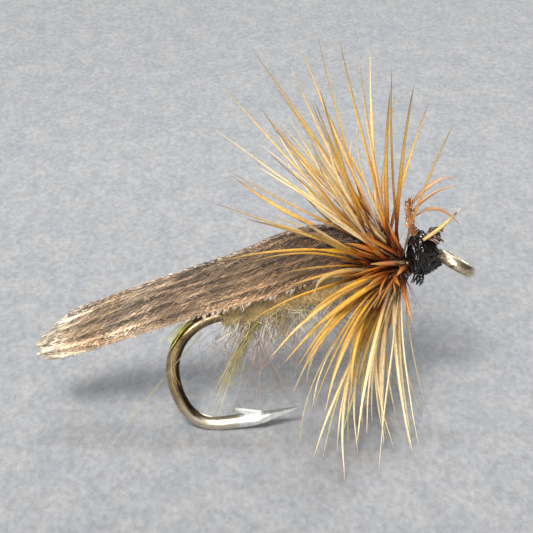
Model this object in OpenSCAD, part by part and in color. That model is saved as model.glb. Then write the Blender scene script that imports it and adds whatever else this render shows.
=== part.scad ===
// Dry fly: a down-eyed hook dressed with a dubbed body, a tent wing of two
// quill slips, two wound hackle feathers and a lacquered thread head.
// Millimetres, +Z up, +X towards the hook eye. The origin is the centre of
// the eye's hole. The fly stands on its bend and on its lower hackle barbs.

/* [Hook] */
// Wire diameter of the shank, bend and spear
wire_d = 0.47; // [0.4:0.01:0.52]
// Nose-up slope of the shank when the fly stands
shank_pitch = 16.1; // [14:0.1:18]
// Straight shank length behind the eye
shank_len = 8.0; // [7.8:0.05:8.2]
// Wire diameter round the eye
eye_wire_d = 0.4; // [0.36:0.01:0.42]
// Radius of the hole through the eye
eye_bore_r = 0.38; // [0.36:0.01:0.4]
// Down-turn of the eye from the line of the shank
eye_tilt = 47; // [42:1:50]
// Twist of the eye ring about its line to the shank
eye_roll = 12; // [8:1:14]
// Radius of the upper part of the bend
bend_upper_r = 2.05; // [1.95:0.05:2.15]
// Radius of the flatter back of the bend
bend_back_r = 2.9; // [2.7:0.05:3.1]
// Radius of the lower part of the bend
bend_lower_r = 1.32; // [1.25:0.01:1.4]
// Full length of the spear from the bend to the point
spear_len = 2.72; // [2.6:0.02:2.8]
// Length of the ground point
point_len = 1.8; // [1.7:0.05:1.9]
// Height of the barb's free end over the spear
barb_rise = 0.24; // [0.18:0.01:0.3]

/* [Body] */
// Thickness of the tying thread laid along the shank
thread_d = 0.07; // [0.06:0.005:0.08]
// Radius of the dubbed body behind the wing
body_front_r = 0.6; // [0.56:0.02:0.66]
// Radius of the dubbed body at the bend
body_rear_r = 0.46; // [0.45:0.01:0.5]
// Number of loose guard hairs on the body
guard_hair_count = 54; // [30:1:60]
// Number of soft olive tuft fibres under the body
tuft_count = 34; // [20:1:40]
// Number of russet hairs picked out of the body
russet_count = 12; // [8:1:14]

/* [Wing] */
// Thickness of one quill slip
slip_thick = 0.07; // [0.06:0.005:0.08]
// Number of married barbs in one slip
slip_barbs = 13; // [8:1:14]
// Outward spread of the slip on the near side
near_spread = 1.3; // [1.2:0.05:1.4]
// Outward spread of the slip on the far side
far_spread = 1.02; // [1:0.02:1.1]
// Height of the tent over the rear of the body
tent_height = 1.34; // [1.3:0.02:1.4]

/* [Hackle] */
// Radius at which the two hackle stems are wound
stem_wind_r = 0.4; // [0.39:0.01:0.42]
// Thickness of a hackle stem
stem_d = 0.13; // [0.1:0.01:0.14]
// Width of a hackle barb at its root
barb_root_w = 0.15; // [0.12:0.01:0.16]
// Width of a hackle barb near its tip
barb_tip_w = 0.04; // [0.03:0.005:0.05]
// Number of filling barbs in the fan over the wing
fan_count = 24; // [16:1:34]
// Number of filling barbs on each side
side_count = 12; // [8:1:16]
// Number of filling barbs under the shank
skirt_count = 14; // [10:1:24]

/* [Head] */
// Radius of the thread head at its thickest
head_r = 0.46; // [0.43:0.01:0.5]
// Number of thread turns in the head
head_turns = 9; // [7:1:10]

/* [Hidden] */
eps = 0.004;
gap = 0.012;
wire_r = wire_d / 2;
eye_mid_r = eye_bore_r + eye_wire_d / 2 - 0.02;
shank_z = eye_mid_r * sin(eye_tilt);
shank_front = -eye_mid_r * cos(eye_tilt);
shank_back = shank_front - shank_len;
turn_a = 168;
turn_b = 194;
turn_c = 262;
function polar(r, a) = [r * cos(a), 0, r * sin(a)];
centre_a = [shank_back, 0, shank_z - bend_upper_r];
centre_b = centre_a + polar(bend_upper_r - bend_back_r, turn_a);
centre_c = centre_b + polar(bend_back_r - bend_lower_r, turn_b);
spear_start = centre_c + polar(bend_lower_r, turn_c);
spear_slope = 270 - turn_c;
function stand(p) = [
  p[0] * cos(shank_pitch) - p[2] * sin(shank_pitch),
  p[1],
  p[0] * sin(shank_pitch) + p[2] * cos(shank_pitch)
];
floor_z = stand(centre_c)[2] - bend_lower_r - wire_r;
core_r = wire_r + gap;
body_back = shank_back + 0.1;
body_end = -3.1;
hackle_back = -2.62;
hackle_front = -1.56;
head_back = -1.46;
head_front = -0.62;

// ---- vector helpers ----
function unit(v) = v / norm(v);
function mix(a, b, t) = a + (b - a) * t;
function clamp(v, lo, hi) = max(lo, min(hi, v));
function smooth(t) = let (c = clamp(t, 0, 1)) c * c * (3 - 2 * c);

// ---- slender fibres: closed four-sided tubes gathered into one polyhedron ----
sides = 4;
function fibre_ring(c, t, s, w, flat) =
  let (a = unit(s - (s * t) * t), b = cross(t, a))
  [for (k = [0:sides - 1]) c + w / 2 * (cos(90 * k) * a + flat * sin(90 * k) * b)];
function fibre_points(path, w0, w1, flat, s) =
  let (n = len(path) - 1)
  [for (j = [0:n])
    let (t = unit(path[min(j + 1, n)] - path[max(j - 1, 0)]))
    each fibre_ring(path[j], t, s, mix(w0, w1, pow(j / n, 1.3)), flat)];
function fibre_faces(rings, first) = concat(
  [[first, first + 1, first + 2], [first, first + 2, first + 3]],
  [for (j = [0:rings - 2], k = [0:sides - 1])
    let (a = first + j * sides + k, b = first + j * sides + (k + 1) % sides)
    each [[a, a + sides, b + sides], [a, b + sides, b]]],
  let (e = first + (rings - 1) * sides) [[e + 2, e + 1, e], [e + 3, e + 2, e]]);

// A fibre is [path, root width, tip width, flatness, width direction]
module fibres(list) {
  rings = len(list[0][0]);
  points = [for (f = list) each fibre_points(f[0], f[1], f[2], f[3], f[4])];
  faces = [for (i = [0:len(list) - 1]) each fibre_faces(rings, i * rings * sides)];
  polyhedron(points = points, faces = faces);
}

// A curved path from a to b that bows by the vector bow at its middle
function bowed(a, b, bow, steps) =
  [for (j = [0:steps]) let (t = j / steps) mix(a, b, t) + bow * 4 * t * (1 - t)];

// ---- shank helpers ----
function shank_at(x) = stand([x, 0, shank_z]);
function radial(around) = [0, -sin(around), cos(around)];
function out_of_shank(around, sweep) =
  stand(cos(sweep) * radial(around) - [sin(sweep), 0, 0]);
function around_of(v) = atan2(-v[1], v[2] * cos(shank_pitch) - v[0] * sin(shank_pitch));

module standing() {
  rotate([0, -shank_pitch, 0]) children();
}

// Turned about the shank: x of the profile is radius, y runs back from the eye
module about_shank() {
  standing() translate([0, 0, shank_z]) rotate([0, -90, 0]) rotate_extrude($fn = 40) children();
}

// Profile of thread turns lying side by side between two stations
module wraps_profile(x0, x1, inner, outer0, outer1, turns, cord) {
  pitch = (x0 - x1) / turns;
  union() {
    polygon([[inner, -x0], [outer0 - cord / 2, -x0], [outer1 - cord / 2, -x1], [inner, -x1]]);
    for (i = [0:turns - 1])
      translate([mix(outer0, outer1, (i + 0.5) / turns) - cord / 2, -x0 + (i + 0.5) * pitch])
        scale([1, pitch / cord]) circle(d = cord, $fn = 10);
  }
}

// ---- hook ----
module wire_arc(c, r, a0, a1) {
  translate(c) rotate([90, 0, 0]) rotate([0, 0, a0])
    rotate_extrude(angle = a1 - a0, $fn = 96) translate([r, 0]) circle(r = wire_r, $fn = 24);
}

module in_eye() {
  rotate(a = eye_roll, v = [-cos(eye_tilt), 0, sin(eye_tilt)]) rotate([0, eye_tilt, 0]) children();
}

module eye_ring() {
  in_eye() rotate_extrude($fn = 48) translate([eye_mid_r, 0]) circle(d = eye_wire_d, $fn = 24);
}

// Straight wire ground to a point by a sloping underside and two flanks
module spear() {
  under = atan((wire_d - 0.02) / point_len);
  flank = atan((wire_r - 0.02) / (point_len * 0.8));
  side = 4;
  translate(spear_start) rotate([0, spear_slope, 0]) difference() {
    rotate([0, 90, 0]) cylinder(r = wire_r, h = spear_len, $fn = 24);
    translate([spear_len, 0, wire_r - 0.02]) rotate([0, -under, 0])
      translate([-side / 2, -side / 2, -side]) cube([side, side, side]);
    for (m = [0, 1])
      mirror([0, m, 0]) translate([spear_len, 0.02, 0]) rotate([0, 0, -flank])
        translate([-side / 2, 0, -side / 2]) cube([side, side, side]);
  }
}

// Full round that joins two lengths of wire
module wire_joint(at) {
  translate(at) sphere(r = wire_r + eps, $fn = 24);
}

// Sliver raised from the top of the spear with its free end towards the bend
module barb_sliver() {
  root = 1.4;
  free = 0.5;
  translate(spear_start) rotate([0, spear_slope, 0]) translate([0, 0.1, wire_r]) rotate([90, 0, 0])
    linear_extrude(0.2)
      polygon([[free, barb_rise], [root, 0], [root - 0.1, -0.14], [0.92, -0.12],
        [0.8, 0.03]]);
}

module hook() {
  join = 0.45;
  color([0.62, 0.47, 0.27]) standing() difference() {
    union() {
      eye_ring();
      translate([shank_front - join, 0, shank_z]) rotate([0, 90, 0])
        cylinder(r1 = wire_r, r2 = eye_wire_d / 2 - 0.02, h = join, $fn = 24);
      translate([shank_back, 0, shank_z]) rotate([0, 90, 0])
        cylinder(r = wire_r, h = shank_len - join, $fn = 24);
      wire_arc(centre_a, bend_upper_r, 90, turn_a);
      wire_arc(centre_b, bend_back_r, turn_a, turn_b);
      wire_arc(centre_c, bend_lower_r, turn_b, turn_c);
      wire_joint([shank_front - join, 0, shank_z]);
      wire_joint([shank_back, 0, shank_z]);
      wire_joint(centre_a + polar(bend_upper_r, turn_a));
      wire_joint(centre_b + polar(bend_back_r, turn_b));
      wire_joint(spear_start);
      spear();
      barb_sliver();
    }
    in_eye() cylinder(r = eye_bore_r, h = 1.2, center = true, $fn = 48);
  }
}

// ---- body ----
module thread_underbody() {
  color([0.2, 0.17, 0.1]) about_shank()
    wraps_profile(body_end + 0.02, body_back + 0.12, core_r, core_r + thread_d,
      core_r + thread_d, 44, thread_d);
}

body_rings = 36;
body_sides = 22;
function body_r(t, a) = mix(body_rear_r, body_front_r * (1 + 0.2 * cos(a)), smooth(t * 1.15))
  * (0.93 + 0.04 * sin(5 * a + 900 * t) + 0.035 * sin(3 * a - 1500 * t)
  + 0.03 * sin(2 * a + 2300 * t)) * (t < 0.02 || t > 0.98 ? 0.86 : 1);
function body_centre(t) = shank_at(mix(body_back + 0.1, body_end - 0.02, t));
function body_loop(t, r0) = [for (k = [0:body_sides - 1])
  let (a = 360 * k / body_sides)
  body_centre(t) + stand((r0 > 0 ? r0 : body_r(t, a)) * radial(-a))];

module dubbing_body() {
  inner = core_r + thread_d + gap;
  n = body_sides;
  stations = [for (j = [0:body_rings]) j / body_rings];
  outer = [for (t = stations) each body_loop(t, 0)];
  bore = [for (t = [1, 0]) each body_loop(t, inner)];
  points = concat(outer, bore);
  rows = body_rings + 3;
  color([0.42, 0.36, 0.16]) polyhedron(points = points, faces = [
    for (j = [0:rows - 1], k = [0:n - 1])
      let (a = j * n + k, b = j * n + (k + 1) % n, c = ((j + 1) % rows) * n + k,
        d = ((j + 1) % rows) * n + (k + 1) % n)
      each [[a, c, d], [a, d, b]]]);
}

// Hairs leave the body at a station and fall under it
function hair(station, around, len, back, bow, w) =
  let (x = mix(body_back + 0.3, body_end - 0.1, station),
    t = (x - body_back) / (body_end - body_back),
    r = mix(body_rear_r, body_front_r * 0.84, smooth(t * 1.15)) * 1.08,
    a = shank_at(x) + r * stand(radial(around)),
    d = unit([-back, -sin(around) * 0.5, cos(around)]),
    b = a + len * d,
    low = max(b[2], floor_z + 0.3))
  [bowed(a, [b[0], b[1], low], bow, 4), w, w * 0.45, 0.8, [1, 0.3, 0]];

// Hairs between two stations: ranges of length and backward lean, fan to each side, wander
function hair_set(count, seed, len, w, where, lean, fan, wander) =
  let (st = rands(0, 1, count, seed), ar = rands(180 - fan, 180 + fan, count, seed + 1),
    ln = rands(len[0], len[1], count, seed + 2), bk = rands(lean[0], lean[1], count, seed + 3),
    bx = rands(-wander, wander, count, seed + 4), by = rands(-wander, wander, count, seed + 5))
  [for (i = [0:count - 1])
    hair(mix(where[0], where[1], (i + st[i]) / count), ar[i], ln[i], bk[i],
      [bx[i], by[i], 0.05], w)];

module guard_hairs() {
  color([0.36, 0.3, 0.24])
    fibres(hair_set(guard_hair_count, 11, [0.5, 2.1], 0.035, [0, 1], [-0.6, 0.9], 62, 0.3));
}

module olive_tufts() {
  color([0.5, 0.48, 0.2]) {
    fibres(concat(
      hair_set(round(tuft_count * 0.4), 31, [0.9, 3.2], 0.06, [0.17, 0.24], [0.3, 0.62], 30, 0.1),
      hair_set(round(tuft_count * 0.35), 41, [0.6, 1.2], 0.06, [0.33, 0.41], [-0.25, 0.2], 30, 0.1),
      hair_set(round(tuft_count * 0.25), 51, [0.4, 1.4], 0.06, [0.45, 0.95], [-0.3, 0.6], 50, 0.2)));
  }
}

module russet_hairs() {
  color([0.55, 0.3, 0.16])
    fibres(hair_set(russet_count, 61, [1.2, 3.2], 0.04, [0.06, 0.5], [-0.55, 0.45], 50, 0.15));
}

module tag_strand() {
  a = shank_at(shank_back + 0.15) + [-0.93, -0.4, -0.02];
  color([0.68, 0.64, 0.2]) fibres([
    for (i = [-1:1])
      [bowed(a + [0.05 * i, 0.06 * i, 0.07 * i], a + [-0.96 - 0.07 * i, -0.12, -1.04 + 0.06 * i],
        [0, 0, 0.05], 4), 0.07, 0.05, 0.5, [0.7, 0, -0.7]]]);
}

// A gold fibre that lies along the outside of the bend
module bend_fibre() {
  r = bend_upper_r + 0.02;
  y = -wire_r - 0.05;
  color([0.78, 0.58, 0.26]) fibres([[
    [for (a = [138:9:192]) stand(centre_a + polar(r, a) + [0, y, 0])],
    0.05, 0.024, 1.4, [0, 1, 0]]]);
}

module stray_fibre() {
  a = shank_at(shank_back) + [-0.45, -0.5, -0.45];
  color([0.55, 0.5, 0.25]) fibres([
    [bowed(a, [-12.1, -3.2, floor_z + 0.25], [0.25, 0, 0.35], 6), 0.06, 0.03, 0.7, [0, 1, 0]]]);
}

// ---- wing: each slip is a row of married barbs lying side by side ----
wing_start = 2.6;
wing_tip = 14.36;
wing_full = 3.9;
slip_steps = 14;
function ridge_z(x) = let (q = x - wing_full)
  tent_height - 0.27 * q - 0.0075 * q * q + 0.25 * exp(-pow((q - 1.7) / 1.3, 2));
function edge_z(x) = let (q = x - wing_full) 0.24 - 0.345 * q - 0.1 * exp(-pow((q - 2.4) / 1.4, 2));
function shank_line(x) = shank_at(-x)[2] + 0.06;
// Where the barb at t ends, so that the slip has a rounded tip
function barb_end(t) = wing_tip - 1.15 * (1 - smooth(t / 0.6)) - 0.7 * smooth((t - 0.85) / 0.15);

// Point of a slip at x, from the ridge (t = 0) round the shoulder to the lower edge (t = 1)
function slip_point(x, t, side, spread_a, spread_b, drop) =
  let (g = smooth((x - wing_start) / (wing_full - wing_start)),
    sag = smooth((x - 6.6) / 3),
    top = mix(shank_line(x) + 0.56, ridge_z(x), g),
    low = mix(shank_line(x) + 0.2, edge_z(x) - drop * sag, g),
    taper = 1 - 0.45 * smooth((x - 12.4) / 2),
    w = mix(0.42, mix(spread_a, spread_b, sag), g) * taper)
  [-x, side * (0.07 + w * sin(90 * t)), mix(top, low, 1 - cos(90 * t) * (1 - 0.25 * t))];
function slip_inward(t, side) = -slip_thick * [0, side * sin(15 + 75 * t), cos(15 + 75 * t)];

module slip(side, spread_a, spread_b, drop) {
  n = slip_barbs;
  seam = 0.06;
  rings = slip_steps + 1;
  points = [for (i = [0:n - 1], j = [0:slip_steps])
    let (t0 = (i + seam) / n, t1 = (i + 1 - seam) / n,
      x = mix(wing_start + 0.02 * (i % 3), barb_end((i + 0.5) / n), pow(j / slip_steps, 0.9)),
      a = slip_point(x, t0, side, spread_a, spread_b, drop),
      b = slip_point(x, t1, side, spread_a, spread_b, drop),
      quad = [a, b, b + slip_inward(t1, side), a + slip_inward(t0, side)])
    each side < 0 ? quad : [quad[3], quad[2], quad[1], quad[0]]];
  polyhedron(points = points,
    faces = [for (i = [0:n - 1]) each fibre_faces(rings, i * rings * sides)]);
}

module wing_near() {
  color([0.5, 0.43, 0.34]) slip(-1, near_spread, near_spread * 0.9, 0);
}

module wing_far() {
  color([0.56, 0.5, 0.42]) slip(1, far_spread, far_spread * 0.42, 0.62);
}

module wing_tie_wraps() {
  color([0.06, 0.05, 0.05]) about_shank()
    wraps_profile(hackle_back - 0.03, body_end + 0.05, core_r, 0.42, 0.46, 5, 0.09);
}

// Cut ends of the quill slips and hackles bristling over the head
module wing_butts() {
  color([0.45, 0.33, 0.2]) fibres([
    for (i = [0:6])
      let (a = shank_at(-1.0 + 0.03 * i) + [0.08, -0.36 + 0.11 * i, 1.02 + 0.03 * (i % 3)])
      [bowed(a, a + [0.46 + 0.06 * (i % 2), 0.03 * (i - 3), 0.08 * (i % 3) - 0.2],
        [0, 0, 0.06], 4), 0.1, 0.09, 0.55, [0, 1, 0]]]);
}

// ---- hackle ----
module wound_stem(x0, x1, turns, phase) {
  steps = turns * 18;
  color([0.55, 0.36, 0.16]) fibres([[
    [for (j = [0:steps])
      let (t = j / steps)
      shank_at(mix(x0, x1, t)) + stem_wind_r * stand(radial(360 * turns * t + phase))],
    stem_d, stem_d * 0.8, 0.8, stand([1, 0, 0])]]);
}

module brown_hackle_stem() {
  wound_stem(hackle_back, hackle_front, 4, 0);
}

module cream_hackle_stem() {
  wound_stem(hackle_back + 0.13, hackle_front + 0.13, 4, 0);
}

barb_steps = 5;
// A barb rooted on the stem winding that runs to a tip; bow lifts its middle
function barb_to(tip, station, bow) =
  let (c = shank_at(mix(hackle_back, hackle_front, station)),
    v = tip - c,
    around = around_of(v),
    root = c + (stem_wind_r + stem_d / 2 + gap) * stand(radial(around)))
  [bowed(root, [tip[0], tip[1], max(tip[2], floor_z + barb_tip_w)], bow, barb_steps),
    barb_root_w, barb_tip_w, 0.55, [0.9, 0.1, 0.3]];

// Filling barbs spread evenly round a sector, kept above the floor
function barb_sector(count, seed, around0, around1, sweep0, sweep1, len0, len1) =
  let (ja = rands(0, 1, count, seed), sw = rands(sweep0, sweep1, count, seed + 1),
    ln = rands(len0, len1, count, seed + 2), st = rands(0.03, 0.97, count, seed + 3),
    bx = rands(-0.5, 0, count, seed + 4), by = rands(-0.25, 0.25, count, seed + 5),
    bz = rands(0, 0.3, count, seed + 6))
  [for (i = [0:count - 1])
    let (around = mix(around0, around1, (i + ja[i]) / count),
      d = out_of_shank(around, sw[i]),
      c = shank_at(mix(hackle_back, hackle_front, st[i])),
      reach = d[2] < -0.1 ? min(ln[i], (floor_z + 0.05 - c[2]) / d[2]) : ln[i])
    barb_to(c + reach * d, st[i], [bx[i], by[i], bz[i]])];

// Leading barbs of the fan, tip positions in millimetres from the eye
fan_tips = [
  [-8.3, -1.8, 2.8], [-8.1, -0.3, 4.8], [-7.9, 1.5, 5.8], [-6.9, 1.6, 7.1],
  [-6.3, -3.0, 4.8], [-6.4, -2.6, 5.9], [-6.0, 3.6, 4.0], [-5.6, -1.2, 7.2],
  [-6.2, 0.9, 6.1], [-5.3, 0.8, 7.4], [-4.7, 1.6, 7.6], [-4.0, 0.3, 7.7],
  [-5.0, -3.2, 6.6], [-4.7, -2.5, 6.8], [-3.4, -1.2, 7.5], [-2.9, 1.8, 6.9],
  [-2.4, -2.2, 7.4], [-2.5, -3.1, 6.9], [-1.9, 3.8, 4.9], [-1.7, -2.6, 7.0],
  [-0.7, 4.4, 4.4], [-0.5, -3.9, 6.1]];
// Leading barbs that cross in front of the wing and body
near_tips = [[-6.9, -4.9, 1.8], [-7.8, -4.2, 1.6], [-6.3, -4.9, -1.5], [-5.9, -4.5, -1.9],
  [-5.4, -5.3, -1.6], [-4.9, -5.0, -3.2]];
// Leading barbs that carry the front of the fly on the floor
skirt_tips = [[-5.3, -1.7, -9], [-4.8, 1.4, -9], [-3.8, -4.2, -9], [-3.6, -1.6, -9],
  [-3.3, -2.4, -6.0], [-2.9, 2.0, -9], [-2.3, -1.3, -9], [-2.1, -3.0, -5.6],
  [-3.4, 3.7, -9], [-1.6, 3.3, -9], [-5.0, 2.8, -5.9]];
pale_tips = [[-1.8, 0.7, -9], [-1.4, -0.8, -9], [-0.9, 0.9, -9], [-0.7, 1.9, -9],
  [-1.5, -2.2, -6.0], [-2.7, 0.2, -9], [-1.3, -2.9, -5.4], [-2.4, -2.1, -5.9]];

function led(tips, bow) = [for (i = [0:len(tips) - 1])
  barb_to(tips[i], 0.05 + 0.9 * ((i * 0.618) % 1), bow)];

module brown_fan_barbs() {
  color([0.72, 0.45, 0.12])
    fibres(concat(led(fan_tips, [-0.12, 0, 0.1]),
      barb_sector(fan_count, 101, -62, 62, 6, 42, 5.2, 7.4)));
}

module brown_near_barbs() {
  color([0.76, 0.5, 0.13])
    fibres(concat(led(near_tips, [-0.1, -0.35, 0.55]),
      barb_sector(side_count, 141, 66, 112, 10, 48, 5.8, 7.4)));
}

module brown_far_barbs() {
  color([0.66, 0.44, 0.16])
    fibres(barb_sector(side_count + 4, 181, -116, -66, 8, 46, 5.8, 7.4));
}

module brown_skirt_barbs() {
  color([0.78, 0.56, 0.16])
    fibres(concat(led(skirt_tips, [-0.6, -0.1, 0.3]),
      barb_sector(skirt_count, 221, 118, 242, 14, 38, 5.6, 7.6)));
}

module cream_fan_barbs() {
  color([0.8, 0.68, 0.44])
    fibres(barb_sector(10, 261, -58, 40, 0, 30, 5, 6.8));
}

module cream_skirt_barbs() {
  color([0.84, 0.74, 0.5])
    fibres(concat(led(pale_tips, [-0.16, 0, 0]),
      barb_sector(round(skirt_count * 0.7), 301, 132, 230, 7, 30, 6, 7.4)));
}

// Barbs on the far side of the head that curl forward over the eye
module forward_barbs() {
  color([0.78, 0.52, 0.26]) fibres([
    [bowed([-1.5, 0.6, 1.9], [0.05, 1.0, 2.75], [0, 0, 0.28], 6), 0.07, 0.04, 0.6, [0, 0, 1]],
    [bowed([-1.45, 0.55, 1.65], [0.02, 0.9, 2.45], [0, 0, 0.22], 6), 0.07, 0.04, 0.6, [0, 0, 1]],
    [bowed([-1.3, 0.5, 1.55], [0.22, 1.3, 0.95], [0, 0, 0.38], 6), 0.17, 0.09, 0.5, [0, 0, 1]]]);
}

module trapped_barb() {
  color([0.8, 0.66, 0.42]) fibres([
    [bowed([-1.14, -0.56, 1.02], [0.08, -0.62, 2.17], [0.05, 0, -0.04], 5), 0.11, 0.035, 0.6,
      [0.7, 0, -0.7]]]);
}

// Cut stub of the hackle stem with the bases of its barbs as beads
module clipped_stem() {
  base = [-1.42, -0.4, 1.1];
  top = [-1.62, -0.5, 2.5];
  steps = 26;
  path = bowed(base, top, [-0.1, 0, 0], steps);
  ring_sides = 8;
  ribs = [for (j = [0:steps])
    let (t = j / steps, r = mix(0.2, 0.07, t) * (j % 2 == 0 ? 1 : 0.74))
    each [for (k = [0:ring_sides - 1])
      path[j] + r * [cos(45 * k), sin(45 * k), 0.1 * (k % 2)]]];
  walls = [for (j = [0:steps - 1], k = [0:ring_sides - 1])
    let (a = j * ring_sides + k, b = j * ring_sides + (k + 1) % ring_sides)
    each [[a, a + ring_sides, b + ring_sides], [a, b + ring_sides, b]]];
  last = steps * ring_sides;
  caps = [for (k = [1:ring_sides - 2])
    each [[0, k, k + 1], [last, last + k + 1, last + k]]];
  color([0.36, 0.2, 0.1]) polyhedron(points = ribs, faces = concat(walls, caps));
}

// ---- head ----
module head_thread() {
  turn = (head_front - head_back) / head_turns;
  color([0.05, 0.04, 0.04]) about_shank() union() {
    polygon([[core_r, -head_front], [head_r * 0.62, -head_front], [head_r * 0.86, -head_front + 0.18],
      [head_r * 0.9, -mix(head_front, head_back, 0.6)], [head_r * 0.8, -head_back],
      [core_r, -head_back]]);
    for (i = [0:head_turns - 1])
      let (t = (i + 0.5) / head_turns)
        translate([head_r * (0.6 + 0.34 * sin(25 + 130 * t)), -head_front + (i + 0.5) * turn])
          circle(d = turn * 1.12, $fn = 10);
  }
}

module whip_finish() {
  color([0.07, 0.06, 0.06]) about_shank()
    wraps_profile(head_front + 0.2, head_front + 0.015, wire_r + gap, 0.34, 0.37, 3, 0.07);
}

// Index of a point of the lacquer cap: layer 0 is its inside, layer 1 its outside
function cap_at(rows, cols, layer, i, j) = layer * (rows + 1) * (cols + 1) + i * (cols + 1) + j;

// Hardened lacquer over the tied-down butts: a lumpy cap on the top and sides of the head
module head_lacquer() {
  rows = 16;
  cols = 28;
  first = head_back - 0.02;
  last = head_front + 0.16;
  inner = head_r * 0.96 + 0.04;
  skin = [for (layer = [0, 1], i = [0:rows], j = [0:cols])
    let (t = i / rows, u = j / cols, around = mix(-128, 128, u),
      crown = pow(max(0, cos(around * 0.7)), 1.6) * mix(0.62, 1, smooth(t * 1.6)),
      ends = sqrt(sin(180 * clamp(t, 0.01, 0.99)) * sin(180 * clamp(u, 0.01, 0.99))),
      lumps = 0.05 * sin(620 * t + 190 * sin(3 * around)) * sin(5.2 * around + 340 * t),
      thick = 0.03 + max(0, ends * (0.42 * crown * (1 - 0.45 * smooth(2 * t - 1)) + 0.03 + lumps)),
      r = inner + (layer == 0 ? 0 : thick))
    shank_at(mix(first, last, t)) + r * stand(radial(around))];
  // Four corners of each patch, wound to face outwards
  patches = concat(
    [for (i = [0:rows - 1], j = [0:cols - 1]) each
      [[[1, i, j], [1, i + 1, j], [1, i + 1, j + 1], [1, i, j + 1]],
        [[0, i, j], [0, i, j + 1], [0, i + 1, j + 1], [0, i + 1, j]]]],
    [for (i = [0:rows - 1]) each
      [[[0, i, 0], [0, i + 1, 0], [1, i + 1, 0], [1, i, 0]],
        [[0, i, cols], [1, i, cols], [1, i + 1, cols], [0, i + 1, cols]]]],
    [for (j = [0:cols - 1]) each
      [[[0, 0, j], [1, 0, j], [1, 0, j + 1], [0, 0, j + 1]],
        [[0, rows, j], [0, rows, j + 1], [1, rows, j + 1], [1, rows, j]]]]);
  sheets = [for (q = patches)
    let (c = [for (p = q) cap_at(rows, cols, p[0], p[1], p[2])])
    each [[c[0], c[1], c[2]], [c[0], c[2], c[3]]]];
  color([0.03, 0.02, 0.02]) polyhedron(points = skin, faces = sheets);
}

module thread_tags() {
  color([0.08, 0.07, 0.07]) fibres([
    [bowed([-1.34, -0.5, -0.28], [-1.5, -0.68, -0.52], [0.02, 0, 0], 4), 0.16, 0.05, 0.6, [1, 0, 0]],
    [bowed([-1.16, -0.5, -0.26], [-1.18, -0.68, -0.64], [0.03, 0, 0], 4), 0.17, 0.05, 0.6, [1, 0, 0]],
    [bowed([-1.25, -0.58, -0.3], [-1.33, -0.76, -0.58], [0, 0, 0], 4), 0.14, 0.05, 0.6, [1, 0, 0]]]);
}

hook();
thread_underbody();
dubbing_body();
guard_hairs();
olive_tufts();
russet_hairs();
tag_strand();
bend_fibre();
stray_fibre();
wing_near();
wing_far();
wing_tie_wraps();
wing_butts();
brown_hackle_stem();
cream_hackle_stem();
brown_fan_barbs();
brown_near_barbs();
brown_far_barbs();
brown_skirt_barbs();
cream_fan_barbs();
cream_skirt_barbs();
forward_barbs();
trapped_barb();
clipped_stem();
head_thread();
whip_finish();
head_lacquer();
thread_tags();
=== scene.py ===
"""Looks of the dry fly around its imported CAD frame: feather, fur, thread, lacquer and wire."""

import bmesh
import bpy
import math
import numpy as np
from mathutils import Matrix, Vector, noise
from mathutils.bvhtree import BVHTree


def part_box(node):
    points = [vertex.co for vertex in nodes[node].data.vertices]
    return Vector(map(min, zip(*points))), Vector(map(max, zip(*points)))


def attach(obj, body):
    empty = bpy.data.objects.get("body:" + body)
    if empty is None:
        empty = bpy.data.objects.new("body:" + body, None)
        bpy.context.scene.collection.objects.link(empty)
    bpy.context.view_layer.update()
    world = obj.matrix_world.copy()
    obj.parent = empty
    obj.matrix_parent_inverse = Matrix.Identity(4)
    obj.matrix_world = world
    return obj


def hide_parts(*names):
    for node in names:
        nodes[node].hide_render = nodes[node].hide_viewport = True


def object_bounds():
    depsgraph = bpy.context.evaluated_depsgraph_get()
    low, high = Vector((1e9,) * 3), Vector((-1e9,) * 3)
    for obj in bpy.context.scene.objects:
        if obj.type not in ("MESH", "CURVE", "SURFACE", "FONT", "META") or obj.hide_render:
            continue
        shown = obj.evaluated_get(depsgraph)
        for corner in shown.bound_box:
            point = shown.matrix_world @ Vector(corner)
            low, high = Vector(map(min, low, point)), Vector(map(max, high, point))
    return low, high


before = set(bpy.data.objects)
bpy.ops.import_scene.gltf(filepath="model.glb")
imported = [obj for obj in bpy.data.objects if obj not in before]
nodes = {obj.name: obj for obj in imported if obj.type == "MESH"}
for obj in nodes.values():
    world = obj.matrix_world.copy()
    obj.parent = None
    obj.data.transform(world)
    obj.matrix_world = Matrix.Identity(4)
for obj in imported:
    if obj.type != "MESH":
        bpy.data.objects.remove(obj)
cad_low, cad_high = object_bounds()
MM = 0.001
rng = np.random.default_rng(20417)
uniform = rng.uniform


# ---- vectors
def unit(v):
    return v / max(np.linalg.norm(v), 1e-12)


def units(a):
    return a / np.maximum(np.linalg.norm(a, axis=1, keepdims=True), 1e-12)


def ease(t):
    t = np.clip(t, 0, 1)
    return t * t * (3 - 2 * t)


def jitter(spread=1.0):
    """A random vector."""
    return rng.normal(size=3) * spread


def bowed(start, run, bend, count):
    """A path from start that ends at start + run + bend, bent more and more."""
    t = np.linspace(0, 1, count)[:, None]
    return start + run * t + bend * t * t


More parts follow.
